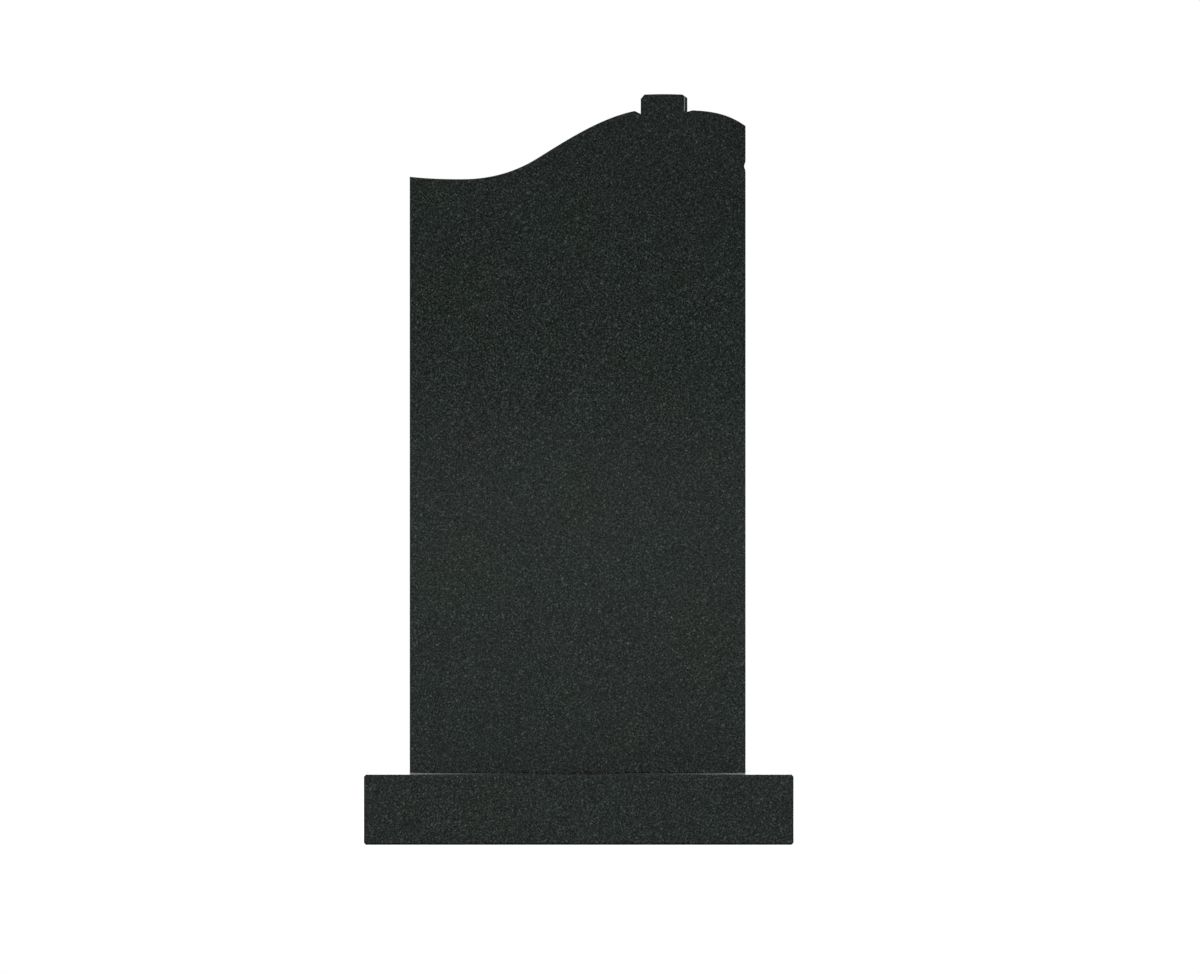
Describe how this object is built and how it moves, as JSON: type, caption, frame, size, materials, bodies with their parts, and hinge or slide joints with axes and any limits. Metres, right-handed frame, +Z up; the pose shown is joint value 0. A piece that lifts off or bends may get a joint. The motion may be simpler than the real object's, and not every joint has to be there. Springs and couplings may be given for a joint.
{
  "type": "headstone",
  "caption": "Upright polished granite headstone: a slab with a wave along its top and a small tab on the crest, standing on a low chamfered plinth.",
  "frame": {"origin": "middle of the plinth's underside, on the ground", "axes": "+Z up the stone, -Y out of its front face, +X to the right as the front is seen, towards the taller side"},
  "size_m": [0.636, 0.2, 1.1148],
  "materials": {
    "slab_gabbro": "polished front, edges and top, honed back",
    "plinth_gabbro": "polished front, sides and top, sawn underside"
  },
  "bodies": {
    "root": {"stele": "slab_gabbro", "plinth": "plinth_gabbro"}
  },
  "joints": []
}
